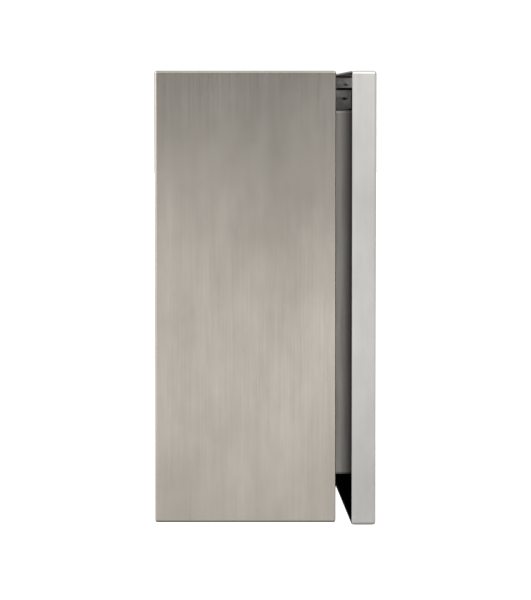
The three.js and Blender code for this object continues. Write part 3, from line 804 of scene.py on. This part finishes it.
def makeLock():
    s = lockSettings
    back = -doorFront - s["housing"]
    bezelBack = -doorFront + s["clear"]
    bezelFront = bezelBack + s["bezelTall"]
    bore = s["core"] + s["clear"]
    thread = [(s["barrel"] - (0.5 * mm if i % 2 else 0), back + (1 + i * 0.5) * mm) for i in range(36)]
    profile = [(bore, back), (s["barrel"] - 0.6 * mm, back)] + thread + [
        (s["barrel"], bezelBack), (s["bezel"], bezelBack), (s["bezel"], bezelBack + 0.6 * mm),
        (s["bezel"] - 1.2 * mm, bezelFront - 0.1 * mm), (s["core"] + 2 * mm, bezelFront),
        (bore, bezelFront - 0.5 * mm), (bore, back)]
    housing = turnPiece("lockHousing", profile, 64, closed=True)
    placeOnDoor(housing, "door", chrome, ["lock_housing"])

    nutFront = -skinInside - s["clear"]
    nut = addNut("lockNut", s["nut"], nutFront - s["nutTall"], nutFront, s["barrel"] + s["clear"])
    placeOnDoor(nut, "door", zincSteel, ["lock_nut"], smooth=30)

    boxLow, boxHigh = (Vector(corner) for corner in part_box("lock_tongue"))
    tongueFront = -(boxLow.y + (boxHigh.y - boxLow.y - s["tongue"]) / 2)
    tongueBack = tongueFront - s["tongue"]
    coreFront = bezelFront - 0.6 * mm
    core = turnPiece("lockCore", [(s["core"], tongueFront + 1.4 * mm), (s["core"], coreFront - 0.4 * mm),
                                  (s["core"] - 0.4 * mm, coreFront)], 48)
    square = addBlock("adder", (-s["square"], -s["square"], tongueBack + 0.3 * mm),
                      (s["square"], s["square"], tongueFront + 1.6 * mm))
    weldOn(core, square)
    keyhole = addBlock("cutter", (-0.8 * mm, -4.2 * mm, coreFront - 2 * mm),
                       (0.8 * mm, 4.2 * mm, coreFront + mm))
    bore = addRod("cutter", 2 * mm, (0, 0, tongueBack - mm), (0, 0, tongueBack + 9 * mm), 24)
    cutAway(core, keyhole, bore)
    placeOnDoor(core, "lock_barrel", chrome, ["lock_core"])

    tongue = addRod("lockTongue", s["hub"], (0, 0, tongueBack), (0, 0, tongueFront), 48)
    blade = addBlock("adder", (-s["hub"], -s["reach"], tongueBack), (s["hub"], 0, tongueFront))
    startEdit(blade)
    pickEdges(blade, lambda mid, run: abs(run.z) > mm and mid.y < -s["reach"] / 2)
    bpy.ops.mesh.bevel(offset=2.5 * mm, segments=5)
    endEdit()
    weldOn(tongue, blade)
    hole = s["square"] + s["clear"]
    cutAway(tongue, addBlock("cutter", (-hole, -hole, tongueBack - mm), (hole, hole, tongueFront + mm)))
    bevelPiece(tongue, 0.3 * mm, segments=2, angle=60)
    placeOnDoor(tongue, "lock_barrel", zincSteel, ["lock_tongue"])

    seat = tongueBack - s["clear"]
    screw = addNut("tongueScrew", 5.2 * mm, seat - 3 * mm, seat, 0)
    shank = turnPiece("adder", [(1.7 * mm, seat - 1 * mm), (1.7 * mm, seat + 6.6 * mm),
                                (1.3 * mm, seat + 7 * mm)], 24)
    weldOn(screw, shank)
    placeOnDoor(screw, "lock_barrel", zincSteel, ["tongue_screw"], smooth=30)


def placeOnDoor(piece, body, material, nodes, smooth=35):
    # lays an upright turned piece forward at the lock and swings it with the door
    placePiece(piece, (lockX, 0, 0), (90, 0, 0))
    swingAjar(piece)
    finishPiece(piece, body, material, nodes, smooth)


makeLock()
print("lock made")


# ---- riser and clamp ----

def makeRiser():
    outer = (riserHigh.x - riserLow.x) / 2
    inner = outer - 5.1 * mm
    low, high = riserLow.z, riserHigh.z
    # tapered thread at each end, cut into the pipe
    lower = [(outer - (0.9 * mm if i % 2 else 0), low + (1.5 + i * 1.1) * mm) for i in range(14)]
    upper = [(outer - (0 if i % 2 else 0.9 * mm), high - (18 - i * 1.1) * mm) for i in range(15)]
    profile = [(inner, low), (outer - 0.9 * mm, low)] + lower + upper + [
        (outer - 0.9 * mm, high), (inner, high), (inner, low)]
    pipe = turnPiece("riserPipe", profile, 96, closed=True)
    placePiece(pipe, (riserX, riserY, 0))
    finishPiece(pipe, "root", zincSteel, ["riser_nipple"], smooth=30)


def makeClamp():
    low, high = (Vector(corner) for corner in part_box("clamp_bracket"))
    boltLow, boltHigh = (Vector(corner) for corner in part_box("clamp_u_bolt"))
    z = (low.z + high.z) / 2
    plate, rod = 3 * mm, (boltHigh.z - boltLow.z) / 2
    radius = (boltHigh.x - boltLow.x) / 2 - rod
    bracket = addBlock("clampBracket", low, high)
    hollow = addBlock("cutter", (low.x + plate, low.y + plate, low.z - 5 * mm),
                      (high.x - plate, high.y + 5 * mm, high.z + 5 * mm))
    cutAway(bracket, hollow)
    startEdit(bracket)
    pickEdges(bracket, lambda mid, run: abs(run.z) > 10 * mm and mid.y < low.y + mm)
    bpy.ops.mesh.bevel(offset=2.5 * mm, segments=5)
    endEdit()
    cutAway(bracket, *[addRod("cutter", rod + 0.3 * mm, (x, low.y - mm, z), (x, low.y + 9 * mm, z), 32)
                       for x in (riserX - radius, riserX + radius)])
    bevelPiece(bracket, 0.4 * mm, segments=2, angle=60)
    finishPiece(bracket, "root", zincSteel, ["clamp_bracket"])

    deselectAll()
    bpy.ops.mesh.primitive_torus_add(location=(riserX, riserY, z), major_radius=radius, minor_radius=rod,
                                     major_segments=96, minor_segments=24)
    bolt = bpy.context.object
    bolt.name = "clampBolt"
    applyPlace(bolt)
    startEdit(bolt)
    bpy.ops.mesh.select_all(action="SELECT")
    bpy.ops.mesh.bisect(plane_co=(riserX, riserY, z), plane_no=(0, 1, 0), clear_outer=True)
    pickEdges(bolt, lambda mid, run: abs(mid.y - riserY) < 0.001 * mm)
    reach = boltHigh.y - riserY - 0.8 * mm
    bpy.ops.mesh.extrude_region_move(TRANSFORM_OT_translate={"value": (0, reach, 0)})
    bpy.ops.mesh.edge_face_add()
    bpy.ops.mesh.select_all(action="SELECT")
    bpy.ops.mesh.normals_make_consistent(inside=False)
    endEdit()
    bevelPiece(bolt, 0.7 * mm, segments=2, angle=60)
    finishPiece(bolt, "root", zincSteel, ["clamp_u_bolt"])

    for side in ("left", "right"):
        nutLow, nutHigh = (Vector(corner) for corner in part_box(f"clamp_nut_{side}"))
        tall = nutHigh.y - nutLow.y
        nut = addNut(f"clampNut.{side}", 7.5 * mm, 0, tall, rod + 0.3 * mm)
        placePiece(nut, ((nutLow.x + nutHigh.x) / 2, nutHigh.y, z), (90, 0, 0))
        finishPiece(nut, "root", zincSteel, [f"clamp_nut_{side}"], smooth=30)


makeRiser()
makeClamp()
print("riser and clamp made")


# ---- hose valve ----

valveLow, valveHigh = (Vector(corner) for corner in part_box("valve_body"))
outletZ = (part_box("outlet_cap")[0][2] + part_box("outlet_cap")[1][2]) / 2
valveSettings = {"voxel": 1.3 * mm, "inlet": 50 * mm, "branch": 40.6 * mm, "branchLong": 64 * mm,
                 "thread": 38.9 * mm, "pitch": 3.4 * mm, "depth": 1.5 * mm, "bore": 29 * mm,
                 "chamber": 36 * mm, "clear": 0.3 * mm}


def castPiece(piece, voxel, rounds):
    # fuses what was welded on and rounds the inside corners, as a casting has
    applyModifier(piece, "REMESH", mode="VOXEL", voxel_size=voxel)
    applyModifier(piece, "SMOOTH", factor=0.5, iterations=rounds)


def makeValveBody():
    s = valveSettings
    base = valveLow.z
    top = valveHigh.z - base
    body = turnPiece("valveBody", inMetres([(46, 0), (46, 28), (44.5, 34), (43.6, 60), (44, 108), (46, 114)])
                     + [(46 * mm, top)], 96)
    hub = turnPiece("adder", [(s["inlet"] - 2 * mm, 0), (s["inlet"], 2 * mm), (s["inlet"], 23 * mm),
                              (s["inlet"] - 4 * mm, 29 * mm)], 8)
    branch = turnPiece("adder", [(s["branch"], 0), (s["branch"] - mm, s["branchLong"] - 5 * mm),
                                 (s["branch"], s["branchLong"] - 3 * mm), (s["branch"], s["branchLong"])], 96)
    placePiece(branch, (0, 0, outletZ - base), (0, -90, 0))
    weldOn(body, hub, branch)
    castPiece(body, s["voxel"], 6)
    placePiece(body, (riserX, riserY, base))

    # hose thread turned on the outlet, then the bores
    long = riserX - s["branchLong"] - valveLow.x + 3 * mm
    half = s["pitch"] / 2
    turns = int(long / s["pitch"]) - 1
    crests = [(s["thread"], 0)]
    for i in range(turns):
        start = (i + 0.2) * s["pitch"]
        crests += [(s["thread"], start), (s["thread"] - s["depth"], start + half * 0.7),
                   (s["thread"] - s["depth"], start + half), (s["thread"], start + half * 1.7)]
    spout = turnPiece("adder", [(s["thread"] - 1.2 * mm, 0), (s["thread"], 1.2 * mm)]
                      + [(r, h + 2 * mm) for r, h in crests] + [(s["thread"], long)], 96)
    placePiece(spout, (valveLow.x, riserY, outletZ), (0, 90, 0))
    weldOn(body, spout)

    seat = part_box("seat_ring")
    clear = s["clear"]
    pipe = (riserHigh.x - riserLow.x) / 2 + clear
    hollow = turnPiece("cutter", [
        (pipe, base - 5 * mm), (pipe, riserHigh.z + clear), (s["bore"] - mm, riserHigh.z + clear),
        (s["bore"] - mm, seat[0][2] - clear), (34.3 * mm, seat[0][2] - clear), (34.3 * mm, seat[1][2]),
        (s["chamber"], seat[1][2]), (s["chamber"], valveHigh.z + 5 * mm)], 96)
    placePiece(hollow, (riserX, riserY, 0))
    bore = addRod("cutter", s["bore"], (valveLow.x - 5 * mm, riserY, outletZ), (riserX, riserY, outletZ), 96)
    cutAway(body, hollow, bore)
    finishPiece(body, "root", castBrass, ["valve_body"], smooth=40)


makeValveBody()
print("valve body made")


def ringOf(name, node, inner, body, material, soft=0.4 * mm, sides=96):
    # a plain ring, its outline taken from its node's own box
    low, high = (Vector(corner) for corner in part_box(node))
    outer = (high.x - low.x) / 2
    profile = [(inner, low.z), (outer, low.z), (outer, high.z), (inner, high.z), (inner, low.z)]
    ring = turnPiece(name, profile, sides, closed=True)
    bevelPiece(ring, soft, segments=2)
    placePiece(ring, (riserX, riserY, 0))
    return finishPiece(ring, body, material, [node])


stemRadius = 7.6 * mm


def makeValveInside():
    ringOf("seatRing", "seat_ring", 26 * mm, "root", castBrass)
    ringOf("bonnetGasket", "bonnet_gasket", 36 * mm, "root", fibre)
    ringOf("packingRing", "packing_ring", stemRadius + 0.4 * mm, "root", fibre)

    low, high = (Vector(corner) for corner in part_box("disc_washer"))
    washer = turnPiece("discWasher", [(30 * mm, low.z), (30 * mm, high.z)], 96)
    bevelPiece(washer, 0.5 * mm, segments=3)
    placePiece(washer, (riserX, riserY, 0))
    finishPiece(washer, "valve_disc", rubber, ["disc_washer"])

    low, high = (Vector(corner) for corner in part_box("disc_holder"))
    bore = stemRadius + 0.3 * mm
    holder = turnPiece("discHolder", [(31 * mm, low.z), (31 * mm, low.z + 7 * mm), (15 * mm, low.z + 9 * mm),
                                      (13 * mm, low.z + 11 * mm), (13 * mm, high.z)], 96)
    cutAway(holder, addRod("cutter", bore, (0, 0, low.z + 8 * mm), (0, 0, high.z + mm), 48))
    bevelPiece(holder, 0.5 * mm, segments=2, angle=30)
    placePiece(holder, (riserX, riserY, 0))
    finishPiece(holder, "valve_disc", castBrass, ["disc_holder"])


def makeBonnet():
    low, high = (Vector(corner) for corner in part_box("bonnet"))
    seat = low.z + 10.5 * mm
    spigot = 35.5 * mm
    piece = turnPiece("bonnetCap", [(spigot - mm, low.z), (spigot, low.z + mm), (spigot, seat + mm)], 96)
    hexagon = addNut("adder", 48 * mm, seat, seat + 15 * mm, 0)
    neck = turnPiece("adder", [(24 * mm, seat + 14 * mm), (21.5 * mm, seat + 17 * mm),
                               (19.4 * mm, seat + 22 * mm), (19.4 * mm, high.z - 5 * mm),
                               (20 * mm, high.z - 4 * mm), (20 * mm, high.z - mm), (19 * mm, high.z)], 96)
    weldOn(piece, hexagon, neck)
    cutAway(piece, addRod("cutter", stemRadius + 0.4 * mm, (0, 0, low.z - mm), (0, 0, high.z + mm), 48),
            addRod("cutter", 13 * mm, (0, 0, 8 * mm), (0, 0, high.z + mm), 48))
    placePiece(piece, (riserX, riserY, 0))
    finishPiece(piece, "root", castBrass, ["bonnet"], smooth=30)

    low, high = (Vector(corner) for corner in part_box("packing_nut"))
    seat = low.z + 6 * mm
    nut = addNut("packingNut", 22 * mm, seat, high.z, 0)
    barrel = turnPiece("adder", [(12 * mm, low.z), (12.7 * mm, low.z + mm), (12.7 * mm, seat + mm)], 64)
    weldOn(nut, barrel)
    cutAway(nut, addRod("cutter", stemRadius + 0.4 * mm, (0, 0, low.z - mm), (0, 0, high.z + mm), 48))
    placePiece(nut, (riserX, riserY, 0))
    finishPiece(nut, "root", castBrass, ["packing_nut"], smooth=30)


def makeStemAndWheel():
    low, high = (Vector(corner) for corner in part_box("valve_stem"))
    wheelLow, wheelHigh = (Vector(corner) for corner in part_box("handwheel"))
    shoulder = wheelHigh.z - 4 * mm
    # square thread in the bonnet, plain through the packing
    thread = []
    for i in range(12):
        start = low.z + (6 + i * 4) * mm
        thread += [(stemRadius, start), (stemRadius - mm, start + 0.3 * mm),
                   (stemRadius - mm, start + 1.8 * mm), (stemRadius, start + 2.1 * mm)]
    stem = turnPiece("valveStem", [(stemRadius - mm, low.z), (stemRadius, low.z + mm)] + thread + [
        (stemRadius, shoulder), (5 * mm, shoulder + 3 * mm), (5 * mm, high.z - mm), (4 * mm, high.z)], 48)
    placePiece(stem, (riserX, riserY, 0))
    finishPiece(stem, "wheel", castBrass, ["valve_stem"], smooth=30)

    rod = 6 * mm
    rim = 46 * mm
    hub = 14 * mm
    middle = wheelLow.z + rod
    deselectAll()
    bpy.ops.mesh.primitive_torus_add(location=(0, 0, middle), major_radius=rim, minor_radius=rod,
                                     major_segments=96, minor_segments=24)
    wheel = bpy.context.object
    wheel.name = "handwheelCasting"
    applyPlace(wheel)
    spokes = []
    for i in range(5):
        spoke = addBlock("adder", (hub - 3 * mm, -4.5 * mm, middle - 3.5 * mm),
                         (rim, 4.5 * mm, middle + 3.5 * mm))
        startEdit(spoke)
        pickFaces(spoke, lambda centre, normal: centre.x > rim - mm)
        bpy.ops.transform.resize(value=(1, 0.72, 0.8), center_override=(rim, 0, middle))
        endEdit()
        spokes.append(placePiece(spoke, rotation=(0, 0, i * 72)))
    boss = turnPiece("adder", [(hub - mm, wheelLow.z), (hub, wheelLow.z + mm), (hub, wheelHigh.z - 3 * mm),
                               (hub - 2 * mm, wheelHigh.z)], 64)
    weldOn(wheel, boss, *spokes)
    castPiece(wheel, 1.1 * mm, 5)
    cutAway(wheel, addRod("cutter", stemRadius + 0.3 * mm, (0, 0, wheelLow.z - 5 * mm),
                          (0, 0, wheelHigh.z + 5 * mm), 48))
    placePiece(wheel, (riserX, riserY, 0))
    finishPiece(wheel, "wheel", redEnamel, ["handwheel"], smooth=50)

    nutLow, nutHigh = (Vector(corner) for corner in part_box("handwheel_nut"))
    nut = addNut("handwheelNut", 10 * mm, nutLow.z, nutHigh.z, 5.3 * mm)
    placePiece(nut, (riserX, riserY, 0))
    finishPiece(nut, "wheel", zincSteel, ["handwheel_nut"], smooth=30)


makeValveInside()
makeBonnet()
makeStemAndWheel()
print("bonnet, stem and handwheel made")


# ---- outlet cap ----

def makeCap():
    low, high = (Vector(corner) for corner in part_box("outlet_cap"))
    outlet = valveSettings["thread"] + valveSettings["clear"]
    rim = valveSettings["thread"] + 6 * mm
    long = high.x - low.x
    floor = 10 * mm
    cap = turnPiece("outletCap", [
        (rim - 14 * mm, 0), (rim - 12 * mm, 1.6 * mm), (rim - 12 * mm, 3.4 * mm), (rim - 6 * mm, 4.6 * mm),
        (rim - 1.5 * mm, 6 * mm), (rim, 9 * mm), (rim, long - 3 * mm), (rim - 1.5 * mm, long)], 96)
    reach = rim + 8 * mm
    lugs = []
    for i in range(4):
        lug = turnPiece("adder", [(5 * mm, rim - 6 * mm), (5 * mm, reach - 2.5 * mm),
                                  (4.2 * mm, reach - 0.8 * mm), (2.5 * mm, reach)], 32)
        placePiece(lug, (0, 0, 16 * mm), (90, 0, i * 90))
        lugs.append(lug)
    weldOn(cap, *lugs)
    castPiece(cap, 1.2 * mm, 4)
    cutAway(cap, addRod("cutter", outlet, (0, 0, floor), (0, 0, long + 5 * mm), 96))
    placePiece(cap, (low.x, riserY, outletZ), (0, 90, 0))
    finishPiece(cap, "cap", castBrass, ["outlet_cap"], smooth=50)

    low, high = (Vector(corner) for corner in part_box("cap_gasket"))
    outer, inner, thick = (high.z - low.z) / 2, valveSettings["bore"], high.x - low.x
    ring = turnPiece("capGasket", [(inner, 0), (outer, 0), (outer, thick), (inner, thick), (inner, 0)],
                     96, closed=True)
    bevelPiece(ring, 0.6 * mm, segments=2)
    placePiece(ring, (low.x, riserY, outletZ), (0, 90, 0))
    finishPiece(ring, "cap_seal", rubber, ["cap_gasket"])


makeCap()
print("outlet cap made")


# ---- camera, lights and stage ----

cameraSettings = {"lens": 200, "sensor": 36, "distance": 3.3593, "below": 35.1 * mm, "across": -111.9 * mm,
                  "pitch": 3.336}


def makeCamera():
    s = cameraSettings
    data = bpy.data.cameras.new("camera")
    data.lens = s["lens"]
    data.sensor_width = s["sensor"]
    data.clip_end = 50
    camera = bpy.data.objects.new("camera", data)
    bpy.context.scene.collection.objects.link(camera)
    camera.location = (cabinetLow.x - s["distance"], s["across"], cabinetHigh.z - s["below"])
    camera.rotation_euler = (math.radians(90 - s["pitch"]), 0, math.radians(-90))
    bpy.context.scene.camera = camera


makeCamera()


def addArea(name, place, target, size, power, tint=(1, 1, 1)):
    data = bpy.data.lights.new(name, "AREA")
    data.shape = "RECTANGLE"
    data.size, data.size_y = size
    data.energy = power
    data.color = tint
    light = bpy.data.objects.new(name, data)
    bpy.context.scene.collection.objects.link(light)
    light.location = place
    light.rotation_euler = (Vector(target) - Vector(place)).to_track_quat("-Z", "Y").to_euler()
    return light


stageSettings = {"drop": 0.5, "size": 84, "near": 1.5, "far": 6, "nearGlow": 0.3, "farGlow": 1.0}


def makeStage():
    # a pale floor well below the hung cabinet, glowing to light it from below; its glow is dimmer close to it, a
    # painted shadow
    s = stageSettings
    deselectAll()
    bpy.ops.mesh.primitive_plane_add(size=s["size"], location=(0, 0, cabinetLow.z - s["drop"]))
    floor = bpy.context.object
    floor.name = "floor"
    applyPlace(floor)
    material = bpy.data.materials.new("paleFloor")
    material.use_nodes = True
    tree = material.node_tree
    tree.nodes.remove(tree.nodes["Principled BSDF"])
    glow = tree.nodes.new("ShaderNodeEmission")
    path = tree.nodes.new("ShaderNodeLightPath")
    place = tree.nodes.new("ShaderNodeTexCoord")
    away = tree.nodes.new("ShaderNodeVectorMath")
    away.operation = "LENGTH"
    tree.links.new(place.outputs["Object"], away.inputs[0])
    fade = tree.nodes.new("ShaderNodeMapRange")
    labels = ("From Min", "From Max", "To Min", "To Max")
    for label, key in zip(labels, ("near", "far", "nearGlow", "farGlow")):
        fade.inputs[label].default_value = s[key]
    tree.links.new(away.outputs["Value"], fade.inputs["Value"])
    strength = addMath(tree, "ADD", path.outputs["Is Camera Ray"], fade.outputs[0])
    tree.links.new(strength, glow.inputs["Strength"])
    tree.links.new(glow.outputs[0], tree.nodes["Material Output"].inputs["Surface"])
    floor.data.materials.append(material)


makeStage()


worldSettings = {"horizon": 0.20, "overhead": 1.0, "riseFrom": 0.10, "riseTo": 0.6, "behind": 1.5,
                 "away": 0.3, "toCamera": 1.1}


def makeWorld():
    # white to the camera; to everything else dark at the level, bright overhead and towards the wall
    s = worldSettings
    world = bpy.data.worlds.new("studio")
    bpy.context.scene.world = world
    world.use_nodes = True
    tree = world.node_tree
    back = tree.nodes["Background"]
    back.inputs["Color"].default_value = (1, 1, 1, 1)
    place = tree.nodes.new("ShaderNodeTexCoord")
    split = tree.nodes.new("ShaderNodeSeparateXYZ")
    tree.links.new(place.outputs["Generated"], split.inputs[0])

    def ramp(value, numbers):
        node = tree.nodes.new("ShaderNodeMapRange")
        for label, number in zip(("From Min", "From Max", "To Min", "To Max"), numbers):
            node.inputs[label].default_value = number
        tree.links.new(value, node.inputs["Value"])
        return node.outputs[0]

    rise = ramp(split.outputs["Z"], (s["riseFrom"], s["riseTo"], s["horizon"], s["overhead"]))
    behind = ramp(split.outputs["Y"], (0.15, 0.6, 0, s["behind"]))
    path = tree.nodes.new("ShaderNodeLightPath")
    seen = path.outputs["Is Camera Ray"]
    unseen = addMath(tree, "SUBTRACT", 1.0, seen)
    away = ramp(split.outputs["X"], (0.0, 0.3, 1, s["away"]))
    glow = addMath(tree, "MULTIPLY", addMath(tree, "ADD", rise, behind), away)
    backdrop = addMath(tree, "MULTIPLY", seen, s["toCamera"])
    strength = addMath(tree, "ADD", addMath(tree, "MULTIPLY", glow, unseen), backdrop)
    tree.links.new(strength, back.inputs["Strength"])


makeWorld()
keySettings = {"place": (-2.8, -1.6, 2.2), "target": (0, -0.1, 0), "size": (1.4, 1.4), "power": 22}
addArea("keyLight", **keySettings)
bpy.context.scene.view_settings.view_transform = "Standard"
print("camera, lights and stage made")
